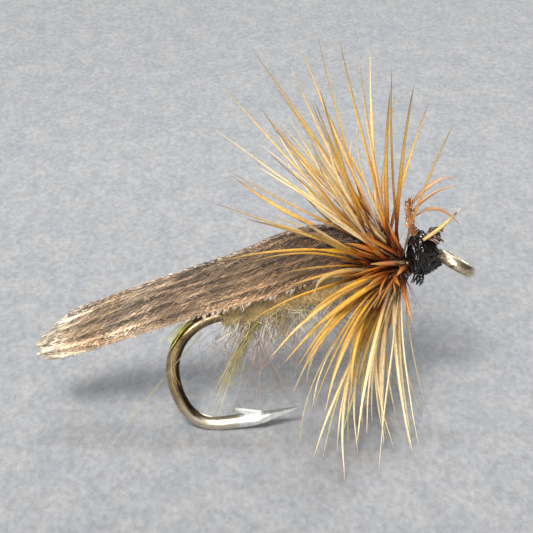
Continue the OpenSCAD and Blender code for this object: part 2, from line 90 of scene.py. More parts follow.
# ---- reading the frame
def islands(name):
    """Points of each separate solid of a CAD node, one array per solid."""
    mesh = nodes[name].data
    co = np.zeros(len(mesh.vertices) * 3)
    mesh.vertices.foreach_get("co", co)
    co = co.reshape(-1, 3)
    keys, index = np.unique(np.round(co * 1e7).astype(np.int64), axis=0, return_inverse=True)
    index = index.reshape(-1)
    parent = list(range(len(keys)))

    def root(i):
        while parent[i] != i:
            parent[i] = parent[parent[i]]
            i = parent[i]
        return i

    for p in mesh.polygons:
        first = root(index[p.vertices[0]])
        for v in p.vertices[1:]:
            parent[root(index[v])] = first
    groups = {}
    for i in range(len(keys)):
        groups.setdefault(root(i), []).append(i)
    found = [keys[g] / 1e7 for g in groups.values()]
    return sorted(found, key=lambda a: tuple(np.round(a.mean(0) * 1e5)))


def fibre_path(points, near):
    """Centres of a slim solid's rings of four, from the end closest to near."""
    centre = points.mean(0)
    axis = unit(np.linalg.svd(points - centre, full_matrices=False)[2][0])
    if (near - centre) @ axis > 0:
        axis = -axis
    order = np.argsort((points - centre) @ axis, kind="stable")
    return points[order].reshape(-1, 4, 3).mean(1)


def resample(path, count):
    """Catmull-Rom curve through the path, at even steps of its parameter."""
    ends = np.vstack([2 * path[0] - path[1], path, 2 * path[-1] - path[-2]])
    u = np.linspace(0, len(path) - 1 - 1e-9, count)
    i = u.astype(int)
    t = (u - i)[:, None]
    p0, p1, p2, p3 = ends[i], ends[i + 1], ends[i + 2], ends[i + 3]
    return 0.5 * (2 * p1 + (p2 - p0) * t + (2 * p0 - 5 * p1 + 4 * p2 - p3) * t**2
                  + (3 * p1 - p0 - 3 * p2 + p3) * t**3)


# ---- mesh building
SIDEWAYS = np.array([0.31, 0.87, 0.38])  # a direction that strands seldom run in


def add_object(name, data):
    thing = bpy.data.objects.new(name, data)
    bpy.context.scene.collection.objects.link(thing)
    return thing


def add_piece(name, mesh, material, slot, *replaced):
    """Makes a mesh a smooth-shaded piece of the one body."""
    mesh.polygons.foreach_set("use_smooth", np.ones(len(mesh.polygons), bool))
    mesh.update()
    mesh.materials.append(material)
    piece = add_object(name, mesh)
    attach(piece, "root")
    if replaced:
        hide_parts(*replaced)


class Strands:
    """Gathers tapered tubes into one mesh, with along, shade and across stored on its points."""

    def __init__(self):
        self.points, self.faces, self.along, self.shade, self.across = [], [], [], [], []
        self.count = 0

    def add(self, path, radius, shade, sides, flat=1.0, side=SIDEWAYS, span=(0, 1), across=0.5):
        """Adds a tube of oval rings along a path; flat is the oval's height over its width."""
        path = np.asarray(path, float)
        radius = np.broadcast_to(radius, len(path))
        tangent = units(np.gradient(path, axis=0))
        a = units(side - (tangent @ side)[:, None] * tangent)
        b = np.cross(tangent, a)
        turn = np.arange(sides) * 2 * math.pi / sides
        rings = (path[:, None] + radius[:, None, None]
                 * (np.cos(turn)[None, :, None] * a[:, None]
                    + flat * np.sin(turn)[None, :, None] * b[:, None]))
        self.tube(rings, np.linspace(span[0], span[1], len(path))[:, None], shade, across)

    def tube(self, rings, along, shade, across=0.5, capped=True):
        """Adds a quad skin over rings of points; values are per point, per ring or for all."""
        rows, cols = rings.shape[:2]
        base = self.count
        self.points.append(rings.reshape(-1, 3))
        j, k = np.meshgrid(np.arange(rows - 1), np.arange(cols), indexing="ij")
        k2 = (k + 1) % cols
        quads = [j * cols + k, j * cols + k2, (j + 1) * cols + k2, (j + 1) * cols + k]
        self.faces += (np.stack(quads, -1).reshape(-1, 4) + base).tolist()
        if capped:
            self.faces.append([base + cols - 1 - i for i in range(cols)])
            self.faces.append([base + (rows - 1) * cols + i for i in range(cols)])
        for kept, value in ((self.along, along), (self.shade, shade), (self.across, across)):
            kept.append(np.broadcast_to(np.asarray(value, float), (rows, cols)).reshape(-1))
        self.count += rows * cols

    def build(self, name, material, slot, *replaced):
        mesh = bpy.data.meshes.new(name)
        mesh.from_pydata(np.vstack(self.points).tolist(), [], self.faces)
        for key, values in (("along", self.along), ("shade", self.shade), ("across", self.across)):
            layer = mesh.attributes.new(key, "FLOAT", "POINT")
            layer.data.foreach_set("value", np.concatenate(values).astype(np.float32))
        add_piece(name, mesh, material, slot, *replaced)

    def stand_in(self, name, material):
        """Builds the finer piece that replaces a node."""
        self.build(name + "_fine", material, name, name)


# ---- materials
class Look:
    """One material and short ways to add to its node tree."""

    def __init__(self, name):
        self.material = bpy.data.materials.new(name)
        self.material.use_nodes = True
        self.tree = self.material.node_tree
        self.tree.nodes.clear()
        self.out = self.node("OutputMaterial")
        self.shader = self.node("BsdfPrincipled")
        self.link(self.shader, "BSDF", self.out, "Surface")

    def node(self, kind, **settings):
        n = self.tree.nodes.new("ShaderNode" + kind)
        for key, value in settings.items():
            setattr(n, key, value)
        return n

    def link(self, a, out, b, into):
        self.tree.links.new(a.outputs[out], b.inputs[into])

    def set(self, **values):
        for key, value in values.items():
            self.shader.inputs[key.replace("_", " ")].default_value = value

    def vector(self, operation, *sources):
        """Vector maths on nodes, plain vectors, or None for what is linked later."""
        n = self.node("VectorMath", operation=operation)
        for i, source in enumerate(sources):
            if isinstance(source, (tuple, list)):
                n.inputs[i].default_value = source
            elif source:
                self.link(source, 0, n, i)
        return n

    def place(self, stretch=(1, 1, 1)):
        """Row-frame coordinates in millimetres, with each axis multiplied by stretch."""
        scale = self.vector("MULTIPLY", None, [1000 * s for s in stretch])
        self.link(self.node("TexCoord"), "Object", scale, 0)
        return scale

    def attribute(self, name):
        return self.node("Attribute", attribute_name=name)

    def ramp(self, source, stops):
        """Colours by a noise, or by one of the strands' attributes if source is its name."""
        r = self.node("ValToRGB")
        for _ in range(len(stops) - 2):
            r.color_ramp.elements.new(0.5)
        for element, (pos, colour) in zip(r.color_ramp.elements, sorted(stops)):
            element.position = pos
            element.color = (*colour, 1)
        self.link(self.attribute(source) if isinstance(source, str) else source, "Fac", r, "Fac")
        return r

    def grey(self, source, stops):
        return self.ramp(source, [(p, (v, v, v)) for p, v in stops])

    def noise(self, where, scale, detail=3, rough=0.55, distort=0.0):
        n = self.node("TexNoise")
        n.inputs["Scale"].default_value = scale
        n.inputs["Detail"].default_value = detail
        n.inputs["Roughness"].default_value = rough
        n.inputs["Distortion"].default_value = distort
        self.link(where, 0, n, "Vector")
        return n

    def feed(self, source, socket):
        """Gives a colour socket a node's colour or a plain one."""
        if isinstance(source, tuple):
            socket.default_value = (*source, 1)
        else:
            index = 2 if source.bl_idname == "ShaderNodeMix" else 0
            self.tree.links.new(source.outputs[index], socket)

    def mix(self, a, b, factor, mode="MIX"):
        """Mixes colour sources; factor is a node or a number."""
        m = self.node("Mix", data_type="RGBA", blend_type=mode)
        if isinstance(factor, (int, float)):
            m.inputs[0].default_value = factor
        else:
            self.link(factor, 0, m, 0)
        self.feed(a, m.inputs[6])
        self.feed(b, m.inputs[7])
        return m

    def tint(self, a, b, factor=1.0):
        """Multiplies one colour source by another."""
        return self.mix(a, b, factor, "MULTIPLY")

    def colour(self, source, through=0.0):
        """Colours the surface, and lets some light through thin fibre."""
        self.feed(source, self.shader.inputs["Base Color"])
        if through:
            thin = self.node("BsdfTranslucent")
            self.feed(source, thin.inputs["Color"])
            join = self.node("MixShader")
            join.inputs[0].default_value = through
            self.link(self.shader, 0, join, 1)
            self.link(thin, 0, join, 2)
            self.link(join, 0, self.out, "Surface")

    def rough(self, source, stops):
        self.feed(self.grey(source, stops), self.shader.inputs["Roughness"])

    def bump(self, source, distance, strength):
        """Raises the surface by a noise; distance is in millimetres."""
        b = self.node("Bump")
        b.inputs["Distance"].default_value = distance * MM
        b.inputs["Strength"].default_value = strength
        self.link(source, 0, b, "Height")
        self.link(b, "Normal", self.shader, "Normal")


def feather_barb(name, stops, pale, rough=0.34, through=0.25):
    """Hackle barb: colour runs along it, each barb differs, fine streaks and satin gloss."""
    look = Look(name)
    base = look.ramp("along", stops)
    toned = look.tint(base, look.grey("shade", [(0, 0.62), (0.5, 1.0), (1, 1.25)]))
    mixed = look.mix(toned, pale, look.grey("shade", [(0.66, 0.0), (0.95, 0.7)]))
    streaks = look.noise(look.place(), 9, 4, 0.6)
    look.colour(look.tint(mixed, look.grey(streaks, [(0.3, 0.72), (0.7, 1.15)]), 0.8), through)
    look.rough(streaks, [(0.3, rough - 0.06), (0.7, rough + 0.14)])
    look.bump(look.noise(look.place(), 30, 2), 0.006, 0.5)
    look.set(Specular_IOR_Level=0.55, Coat_Weight=0.12, Coat_Roughness=0.25)
    return look.material


def hair_look(name, dark, light, rough=0.5, through=0.2):
    """Fine fur: colour differs hair by hair and runs lighter to the tip."""
    look = Look(name)
    base = look.ramp("shade", [(0, dark), (1, light)])
    toned = look.tint(base, look.grey("along", [(0, 0.8), (1, 1.25)]))
    patches = look.grey(look.noise(look.place(), 2.2, 3), [(0.3, 0.7), (0.7, 1.2)])
    look.colour(look.tint(toned, patches, 0.8), through)
    fine = look.noise(look.place(), 24, 2)
    look.rough(fine, [(0.3, rough - 0.1), (0.7, rough + 0.15)])
    look.bump(fine, 0.004, 0.4)
    look.set(Specular_IOR_Level=0.4, Sheen_Weight=0.3, Sheen_Roughness=0.4)
    return look.material


# ---- places
floor_z = cad_low.z
shank_side = np.array([0.0, 1.0, 0.0])


def box_middle(name):
    low, high = (np.array(v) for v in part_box(name))
    return (low + high) / 2


def square_up(direction):
    """The upward direction square to one that lies in the fly's middle plane."""
    up = unit(np.cross(direction, shank_side))
    return -up if up[2] < 0 else up


head_mid = box_middle("head_thread")
hub = box_middle("brown_hackle_stem")
shank_dir = unit(head_mid - box_middle("wing_tie_wraps"))
shank_up = square_up(shank_dir)


def round_shank(distance, radius, angle):
    """Point round the shank, measured forward from the hackle's middle."""
    return (hub + shank_dir * distance
            + radius * (math.cos(angle) * shank_up + math.sin(angle) * shank_side))


# ---- hackle
# Each list runs from a barb's root (0) to its tip (1); the near-black roots are partly the barbs'
# own colour and partly painted shade of the crowded hub
BROWN = [(0.0, (0.015, 0.005, 0.003)), (0.11, (0.06, 0.015, 0.005)), (0.22, (0.22, 0.055, 0.009)),
         (0.35, (0.62, 0.28, 0.030)), (0.58, (0.67, 0.41, 0.10)), (0.82, (0.46, 0.29, 0.09)),
         (1.0, (0.24, 0.14, 0.05))]
GOLD = [(0.0, (0.035, 0.009, 0.004)), (0.11, (0.09, 0.022, 0.005)), (0.22, (0.32, 0.095, 0.011)),
        (0.38, (0.80, 0.44, 0.040)), (0.7, (0.76, 0.46, 0.10)), (1.0, (0.42, 0.26, 0.09))]
CREAM = [(0.0, (0.12, 0.045, 0.015)), (0.07, (0.40, 0.20, 0.06)), (0.16, (0.68, 0.46, 0.19)),
         (0.5, (0.86, 0.69, 0.40)), (1.0, (0.78, 0.64, 0.42))]
SKIRT = [(0.0, (0.03, 0.008, 0.004)), (0.08, (0.11, 0.028, 0.006)), (0.17, (0.40, 0.14, 0.016)),
         (0.30, (0.76, 0.43, 0.06)), (0.52, (0.82, 0.60, 0.22)), (0.8, (0.86, 0.72, 0.40)),
         (1.0, (0.62, 0.50, 0.32))]
STRAW = (0.84, 0.70, 0.40)
brown_look = feather_barb("hackle_brown", BROWN, STRAW)
gold_look = feather_barb("hackle_gold", GOLD, STRAW, 0.3, 0.3)
skirt_look = feather_barb("hackle_skirt", SKIRT, (0.90, 0.80, 0.56), 0.3, 0.35)
cream_look = feather_barb("hackle_cream", CREAM, (0.78, 0.66, 0.44), 0.36, 0.35)
BARB_RINGS = 18
BARB_TIP = 0.006 * MM  # half the thickness that a barb ends with
BARBULE_STEPS = 60  # places along a barb, of which the first half take hooklets


def barb(strands, path, width, shade):
    """One stiff hackle barb: flat oval that tapers to a hair, with slight kinks."""
    line = resample(path, BARB_RINGS)
    t = np.linspace(0, 1, BARB_RINGS)
    length = np.linalg.norm(line[-1] - line[0])
    across = unit(np.cross(line[-1] - line[0], jitter()))
    kink = np.sin(t * uniform(4, 9) + uniform(0, 6)) * t * (1 - t) * length * 0.014
    line = line + kink[:, None] * across
    radius = width / 2 * (0.72 + 0.5 * np.sin(np.clip(t * 2.2 + 0.25, 0, math.pi / 2)))
    radius = radius * (1 - t**2.2) ** 0.85 + BARB_TIP
    side = unit(np.cross(line[-1] - line[0], [0.2, 1.0, 0.1]) + jitter(0.3))
    strands.add(line, radius, shade, 7, 0.5, side)


def barbules(strands, path, shade, count):
    """Short hooklets left along the lower half of a barb."""
    line = resample(path, BARBULE_STEPS)
    for i in range(count):
        k = int(2 + BARBULE_STEPS / 2 * (i + uniform()) / count)
        start = line[k]
        forward = unit(line[k + 3] - line[k])
        out = unit(np.cross(forward, jitter()))
        reach = uniform(0.12, 0.3) * MM * (1 - k / 40)
        tip = start + reach * unit(forward * 1.1 + out)
        middle = (start + tip) / 2 + out * reach * 0.12
        strands.add([start, middle, tip], np.array([0.009, 0.007, 0.003]) * MM, shade, 3)


def hackle(name, look, width, low, high, web=0):
    """Finer barbs for a node, shaded from low to high, with web hooklets near each root when web is
    given.
    """
    strands = Strands()
    for points in islands(name):
        path = fibre_path(points, hub)
        shade = uniform(low, high)
        barb(strands, path, width * uniform(0.78, 1.12) * MM, shade)
        if web:
            barbules(strands, path, shade * 0.8, web)
    strands.stand_in(name, look)


hackle("brown_fan_barbs", brown_look, 0.132, 0.25, 1.0, 8)
hackle("brown_near_barbs", gold_look, 0.148, 0.35, 0.85, 8)
hackle("brown_far_barbs", brown_look, 0.13, 0.2, 0.9)
hackle("brown_skirt_barbs", skirt_look, 0.120, 0.25, 1.0, 8)
hackle("cream_fan_barbs", cream_look, 0.112, 0.1, 0.8)
hackle("cream_skirt_barbs", cream_look, 0.115, 0.1, 0.9, 6)

# Webby down close to the stems
web_look = hair_look("hackle_web", (0.02, 0.005, 0.002), (0.22, 0.06, 0.012), 0.42, 0.15)
WEB_HAIRS, WEB_ROOT = 620, 0.42 * MM
web = Strands()
for _ in range(WEB_HAIRS):
    around = uniform(0, 2 * math.pi)
    start = round_shank(uniform(-0.62, 0.42) * MM, WEB_ROOT, around)
    radial = unit(start - round_shank(0, 0, 0) - shank_dir * ((start - hub) @ shank_dir))
    go = unit(radial - shank_dir * uniform(0.1, 0.9) + jitter(0.22))
    reach = min(rng.gamma(4, 0.19), 1.15) * MM
    path = bowed(start, go * reach, unit(jitter()) * reach * 0.12, 6)
    web.add(path, np.linspace(0.016, 0.004, 6) * MM, uniform(0, 1), 4)
web.build("hackle_web", web_look, "brown_fan_barbs")


# ---- wing
SLIP_LENGTH, SLIP_WIDTH = 11.8, 3.4  # millimetres, laid flat
SEAM_POINTS = 120
RIDGE_LEAN, LEAN_SPAN = 15, 75  # degrees that a barb's face tilts at the ridge, and gains
SLIP_ROWS = 190  # rings along a slip
BARB_COLS = 8  # columns across each barb
PLEATS = 5


def slip_seams(name, outward):
    """Lines along a quill slip, one per seam between its married barbs, ridge first."""
    strips = sorted(islands(name), key=lambda a: np.abs(a[:, 1]).mean())
    n = len(strips)
    upper, lower = [], []
    for i, points in enumerate(strips):
        order = np.argsort(-points[:, 0], kind="stable")
        rings = points[order].reshape(-1, 4, 3)
        lean = math.radians(RIDGE_LEAN + LEAN_SPAN * (i + 0.5) / n)
        normal = np.array([0, outward * math.sin(lean), math.cos(lean)])
        across = np.array([0, outward * math.cos(lean), -math.sin(lean)])
        a, b = [], []
        for ring in rings:
            skin = ring[np.argsort(ring @ normal)[2:]]
            skin = skin[np.argsort(skin @ across)]
            a.append(skin[0])
            b.append(skin[1])
        upper.append(resample(np.array(a), SEAM_POINTS))
        lower.append(resample(np.array(b), SEAM_POINTS))
    seams = [upper[0]] + [(lower[i] + upper[i + 1]) / 2 for i in range(n - 1)] + [lower[-1]]
    return np.array(seams)


class Slip:
    """Smooth surface of a quill slip: u runs from ridge to lower edge, v from tie-in to tip."""

    def __init__(self, name, outward):
        seams = slip_seams(name, outward)
        count = 4 * (len(seams) - 1) + 1
        self.grid = np.stack([resample(seams[:, j], count) for j in range(SEAM_POINTS)], 1)
        du = np.gradient(self.grid, axis=0)
        dv = np.gradient(self.grid, axis=1)
        normal = np.cross(du, dv)
        normal /= np.maximum(np.linalg.norm(normal, axis=2, keepdims=True), 1e-15)
        away = normal[count // 2, SEAM_POINTS // 2] @ np.array([0, outward, 0.5])
        self.normal = -normal if away < 0 else normal

    def at(self, field, u, v):
        """Value of a field on the slip, linear between its grid points."""
        rows, cols = field.shape[0] - 1, field.shape[1] - 1
        a = np.clip(np.asarray(u, float), 0, 1) * rows
        b = np.clip(np.asarray(v, float), 0, 1) * cols
        i = np.minimum(a.astype(int), rows - 1)
        j = np.minimum(b.astype(int), cols - 1)
        fa, fb = (a - i)[..., None], (b - j)[..., None]
        return ((field[i, j] * (1 - fa) + field[i + 1, j] * fa) * (1 - fb)
                + (field[i, j + 1] * (1 - fa) + field[i + 1, j + 1] * fa) * fb)

    def point(self, u, v, lift=0.0):
        """Place on the slip, raised from it by lift."""
        return self.at(self.grid, u, v) + self.at(self.normal, u, v) * np.asarray(lift)[..., None]


def smooth_random(count, step, spread):
    """A gently wandering row of values."""
    knots = rng.normal(size=count // step + 4) * spread
    return np.interp(np.arange(count) / step, np.arange(len(knots)), knots)


def quill_slip(name, outward, barbs, fringe):
    """A pleated vane of married barbs with hooklets; fringe scales how many hooklets."""
    slip = Slip(name, outward)
    strands = Strands()
    rows = SLIP_ROWS
    cols = barbs * BARB_COLS + 1
    v = np.linspace(0, 1, rows)
    wander = np.array([smooth_random(rows, 9, 0.30) for _ in range(barbs + 1)])
    wander = np.cumsum(wander, 0) * 0.45
    wander -= wander.mean(0)
    tone = np.clip(rng.normal(0.5, 0.24, barbs), 0, 1)
    base = np.linspace(0, 1, cols)
    k = np.minimum((base * barbs).astype(int), barbs - 1)
    frac = base * barbs - k
    ridge = 1 - np.abs(2 * frac - 1) ** 2.2
    u = np.empty((rows, cols))
    for j in range(rows):
        shift = np.interp(base * barbs, np.arange(barbs + 1), wander[:, j]) / barbs
        u[j] = base + shift * np.sin(math.pi * base)
    waves = np.array([smooth_random(rows, 5, 1.0) for _ in range(barbs)])
    # the barbs gather in a few broad pleats, each lapping a little over the next
    bounds = np.arange(PLEATS + 1)[:, None] + np.array(
        [smooth_random(rows, 16, 0.17) for _ in range(PLEATS + 1)])
    bounds[0], bounds[-1] = 0, PLEATS
    pleat = np.array([np.interp(u[j] * PLEATS, bounds[:, j], np.arange(PLEATS + 1))
                      for j in range(rows)])
    lap = pleat - np.minimum(pleat.astype(int), PLEATS - 1)
    height = (0.026 * ridge[None] - 0.022 + 0.014 * waves[k].T * ridge[None]
              + 0.080 * (lap ** 1.4 - 0.4)) * MM
    grow = ease(v / 0.12)[:, None]
    height = height * (0.4 + 0.6 * grow)
    vv = np.repeat(v[:, None], cols, 1)
    ends = uniform(0.968, 1.0, barbs)
    vv = vv * ends[k][None]
    top = slip.point(u, vv, height)
    under = slip.point(u, vv, np.full_like(u, -0.05 * MM))
    # shade: over each barb's own random tone, barb crests and pleat lips are painted pale as
    # painted highlight, and the laps between pleats and the gaps between barbs are painted dark as
    # painted shade; the tip is even
    painted_pleat_shade_and_tone = 0.40 + 0.22 * (tone[k] - 0.5) + 0.10 * ridge
    painted_pleat_shade_and_tone = painted_pleat_shade_and_tone[None] + 0.07 * waves[k].T + 0.36 * (lap - 0.45)
    painted_pleat_shade_and_tone -= 0.5 * np.clip(1 - lap / 0.22, 0, 1)
    painted_pleat_shade_and_tone += (0.62 - painted_pleat_shade_and_tone) * 0.6 * ease((v - 0.7) / 0.25)[:, None]
    painted_pleat_shade_and_tone = np.clip(painted_pleat_shade_and_tone, 0, 0.85)

    def both_faces(upper, lower):
        return np.concatenate([upper, lower[:, ::-1]], 1)

    strands.tube(both_faces(top, under), both_faces(vv, vv), both_faces(painted_pleat_shade_and_tone, painted_pleat_shade_and_tone),
                 both_faces(u, u), capped=False)
    for end in (0, rows - 1):
        first = end * 2 * cols
        for c in range(cols - 1):
            a, b = first + c, first + c + 1
            d, e = first + 2 * cols - 1 - c, first + 2 * cols - 2 - c
            strands.faces.append([a, d, e, b] if end else [a, b, e, d])
    # barbules hatch each barb, slanting towards the tip
    marks = int(130 * fringe)
    for i in range(barbs):
        u0 = (i + 0.5) / barbs
        for m in range(marks):
            vs = (m + uniform()) / marks * 0.985 * ends[i]
            du = uniform(0.8, 1.6) / barbs * rng.choice((-1, 1), p=(0.2, 0.8))
            dv = uniform(0.011, 0.022)
            row = int(vs * (rows - 1))
            shift = np.interp(u0 * barbs, np.arange(barbs + 1), wander[:, row]) / barbs
            uu = np.array([u0, u0 + du * 0.55, u0 + du]) + shift * math.sin(math.pi * u0)
            line = np.minimum(np.array([vs, vs + dv * 0.45, vs + dv]), 1)
            path = slip.point(uu, line, np.array([0.025, 0.055, uniform(0.0, 0.06)]) * MM)
            # the barbules take the painted pleat shade under them, plus a random tone
            bright = painted_pleat_shade_and_tone[row, int(u0 * (cols - 1))] + rng.normal(0.10, 0.20)
            bright = min(max(bright, 0.03), 0.88)
            strands.add(path, np.array([0.018, 0.023, 0.007]) * MM, bright, 3, 0.6,
                        span=(vs, vs), across=u0)
    # free hooklets gather in little teeth along the lower edge, and fuzz the ridge
    for u0, way, teeth in ((1.0, 1, int(74 * fringe)), (0.0, -1, int(46 * fringe))):
        for m in range(teeth):
            middle = (m + uniform(0.2, 0.8)) / teeth * 0.97
            lean = uniform(0.35, 1.0) if way > 0 else uniform(0.1, 0.4)
            length = rng.gamma(6, 0.034 if way > 0 else 0.016) * MM
            length *= 1 - 0.62 * ease((middle - 0.5) / 0.3)
            for _ in range(7):
                vs = min(max(middle + rng.normal() * 0.0045, 0), 0.985)
                start = slip.point(u0, vs)
                ahead = unit(slip.point(u0, min(vs + 0.02, 1)) - slip.point(u0, max(vs - 0.01, 0)))
                out = unit(start - slip.point(u0 - way * 0.08, vs))
                normal = slip.at(slip.normal, u0, vs)
                gather = (middle - vs) * SLIP_LENGTH * MM * ahead
                go = ahead * uniform(0.8, 1.1) + out * lean
                go = unit(go + normal * rng.normal(0.1, 0.25))
                tip = start + go * length * uniform(0.6, 1.1) + gather * 0.7
                path = [start - out * 0.05 * MM, (start + tip) / 2 + out * length * 0.08, tip]
                strands.add(path, np.array([0.017, 0.014, 0.006]) * MM, uniform(0.90, 1.0), 4,
                            span=(vs, vs), across=u0)
    return strands


def quill_look(name, lift):
    """Mottled quill: cream and umber bands along the slip, streaks down it, greyed by lift."""
    look = Look(name)
    bands = look.ramp("along", [
        (0.0, (0.10, 0.045, 0.020)), (0.16, (0.22, 0.115, 0.05)), (0.30, (0.29, 0.175, 0.09)),
        (0.44, (0.33, 0.215, 0.125)), (0.58, (0.33, 0.215, 0.13)), (0.66, (0.50, 0.36, 0.235)),
        (0.73, (0.58, 0.43, 0.29)), (0.79, (0.40, 0.265, 0.155)), (0.87, (0.56, 0.40, 0.26)),
        (0.93, (0.80, 0.66, 0.48)), (1.0, (0.84, 0.71, 0.53))])
    # millimetres along and across the slip, turned to the slant of the hooklets
    flat = look.node("CombineXYZ")
    look.link(look.attribute("along"), "Fac", flat, 0)
    look.link(look.attribute("across"), "Fac", flat, 1)

    def laid(turn, x, y):
        lay = look.node("Mapping")
        lay.inputs["Scale"].default_value = (SLIP_LENGTH, SLIP_WIDTH, 1)
        lay.inputs["Rotation"].default_value = (0, 0, math.radians(turn))
        look.link(flat, 0, lay, "Vector")
        return look.vector("MULTIPLY", lay, (x, y, 1))

    blotch = look.noise(laid(-4, 0.35, 1.1), 1.0, 4, 0.62, 0.6)
    lines = look.noise(laid(2, 0.5, 5.0), 1.0, 4, 0.6, 0.9)
    weave = look.noise(laid(-42, 1.3, 5.5), 1.7, 4, 0.62, 0.9)
    # across the slip: the ridge is painted pale as painted highlight and a dark line just under it
    # as painted shade; the middle is a little darker and the lower edge paler
    edge = look.grey("across", [
        (0.0, 1.5), (0.035, 1.35), (0.065, 0.36), (0.10, 0.95), (0.3, 0.76), (0.55, 0.84),
        (0.75, 1.1), (1, 1.35)])
    mottled = look.tint(bands, look.grey(blotch, [(0.34, 0.55), (0.5, 1.0), (0.66, 1.4)]))
    streaks = look.grey(lines, [(0.38, 0.42), (0.5, 1.0), (0.62, 1.5)])
    hatching = look.grey(weave, [(0.36, 0.55), (0.5, 0.95), (0.64, 1.5)])
    woven = look.tint(look.tint(mottled, streaks, 0.95), hatching, 0.9)
    graded = look.tint(woven, edge, 0.85)
    # the shade attribute brings the painted pleat highlight and shade, and each barb's own tone,
    # into the colour
    painted_shade_and_tone_ramp = look.grey("shade", [(0, 0.28), (0.3, 0.70), (0.6, 1.08), (0.85, 1.42), (1, 1.45)])
    toned = look.tint(graded, painted_shade_and_tone_ramp, 0.95)
    # shades above 0.9 are the pale free hooklets
    toned = look.mix(toned, (0.74, 0.63, 0.51), look.grey("shade", [(0.90, 0.0), (0.96, 0.75)]))
    ashy = look.mix(look.tint(toned, (0.73, 0.73, 0.73)), (0.50, 0.44, 0.38), lift)
    look.colour(ashy, 0.12)
    look.rough(look.noise(look.place(), 16, 4, 0.6), [(0.3, 0.5), (0.7, 0.8)])
    look.bump(weave, 0.05, 0.8)
    look.set(Specular_IOR_Level=0.3, Sheen_Weight=0.12, Sheen_Roughness=0.45)
    return look.material


near_look = quill_look("quill_near", 0.03)
far_look = quill_look("quill_far", 0.45)
quill_slip("wing_near", -1, 22, 1.0).build("wing_near_quill", near_look, "wing_near", "wing_near")
quill_slip("wing_far", 1, 22, 0.8).build("wing_far_quill", far_look, "wing_far", "wing_far")


# ---- body
def points_middle(name):
    """Middle of a node's points, which lies on the axis of a turned node."""
    return np.vstack(islands(name)).mean(0)


shank_from = points_middle("thread_underbody")
axis_dir = unit(points_middle("whip_finish") - shank_from)
axis_up = square_up(axis_dir)


def about_axis(along, angle):
    """A point on the shank axis and the outward direction there."""
    return (shank_from + axis_dir * along,
            math.cos(angle) * axis_up + math.sin(angle) * shank_side)


def stations(name):
    """Range of a node along the shank axis."""
    t = (np.vstack(islands(name)) - shank_from) @ axis_dir
    return t.min(), t.max()


def surface_tree(name):
    mesh = nodes[name].data
    return BVHTree.FromPolygons([v.co for v in mesh.vertices], [p.vertices for p in mesh.polygons])


def skin_point(tree, along, angle, reach=3 * MM):
    """Point of a body's skin, seen from outside at a place round the shank."""
    centre, out = about_axis(along, angle)
    hit = tree.ray_cast(Vector(centre + out * reach), Vector(-out), reach)[0]
    return None if hit is None else (np.array(hit), out)


def under_skin(strands, tree, start, end, rows, cols, margin, reach, core, inset):
    """Adds a closed tube that lies inset under a body's skin, or round a core where it has none."""
    skin = np.zeros((rows, cols, 3))
    for j in range(rows):
        along = start + (end - start) * (margin + (1 - 2 * margin) * j / (rows - 1))
        for k in range(cols):
            angle = 2 * math.pi * k / cols
            found = skin_point(tree, along, angle, reach)
            centre, out = about_axis(along, angle)
            at = found[0] if found else centre + out * core
            skin[j, k] = at - out * inset(at, centre, out, along)
    strands.tube(skin, 0.2, 0.4)


def curled(path, turns, size, count=14):
    """A fine hair along a path, with gentle curls that grow to its tip."""
    line = resample(path, count)
    t = np.linspace(0, 1, count)
    run = unit(line[-1] - line[0])
    a = unit(np.cross(run, jitter()))
    b = np.cross(run, a)
    phase = uniform(0, 6.28)
    swing = size * ease(t * 1.6)
    wave_a = swing * (np.sin(turns * t * 6.28 + phase) - math.sin(phase))
    wave_b = swing * 0.6 * (np.cos(turns * 0.8 * t * 6.28 + phase) - math.cos(phase))
    return line + wave_a[:, None] * a + wave_b[:, None] * b


fur = hair_look("dubbing", (0.70, 0.46, 0.14), (1.0, 0.94, 0.62), 0.5, 0.5)
body_tree = surface_tree("dubbing_body")
body_from, body_to = stations("dubbing_body")
dubbing = Strands()
REAR_TAPER = 0.28  # the fur thins towards the bend
BELLY_THIN = 0.12  # and is pulled out thin along the belly


def thinned(at, centre, out, along):
    """How far the fur lies inside the body solid at a point of its skin."""
    rear = REAR_TAPER * (1 - ease((along - body_from) / (2.0 * MM)))
    belly = BELLY_THIN * max(0.0, -out[2])
    return max(rear, belly) * np.linalg.norm(at - centre)


def felted(at, centre, out, along):
    """Depth of the lumpy felt that the hairs stand in."""
    lump = noise.fractal(Vector(at * 2600), 1.0, 2.0, 3)
    return (0.045 - 0.035 * lump) * MM + thinned(at, centre, out, along)


under_skin(dubbing, body_tree, body_from, body_to, 90, 60, 0.004, 3 * MM, 0.3 * MM, felted)
WOUND_HAIRS, HAIR_POINTS = 4200, 8
# hairs lie wound round the body, and about a third of them lift at the tip
for _ in range(WOUND_HAIRS):
    along = body_from + (body_to - body_from) * uniform(0.0, 1.0)
    angle = uniform(0, 2 * math.pi)
    turn = rng.normal(0.75, 0.5) * rng.choice((-1, 1), p=(0.2, 0.8))
    drift = rng.normal(0, 0.35) * MM
    lift = abs(rng.normal(0, 0.055)) * MM
    free = abs(rng.normal(0, 0.13)) * MM if uniform() < 0.35 else 0
    path = []
    for t in np.linspace(0, 1, HAIR_POINTS):
        station = min(max(along + drift * t, body_from + 0.01 * MM), body_to - 0.01 * MM)
        found = skin_point(body_tree, station, angle + turn * t)
        if found is None:
            break
        at, out = found
        centre = about_axis(station, angle + turn * t)[0]
        rise = (lift + 0.03 * MM) * math.sin(math.pi * t) - 0.015 * MM + free * t * t
        path.append(at + out * (rise - thinned(at, centre, out, station)))
    if len(path) == HAIR_POINTS:
        path = np.array(path) + rng.normal(size=(HAIR_POINTS, 3)) * 0.012 * MM
        shade = rng.beta(1.6, 2.2)
        radius = np.linspace(0.011, 0.006, HAIR_POINTS) * MM * uniform(0.7, 1.5)
        dubbing.add(path, radius, shade, 3)
LONG_STRANDS, FUZZ = 80, 220
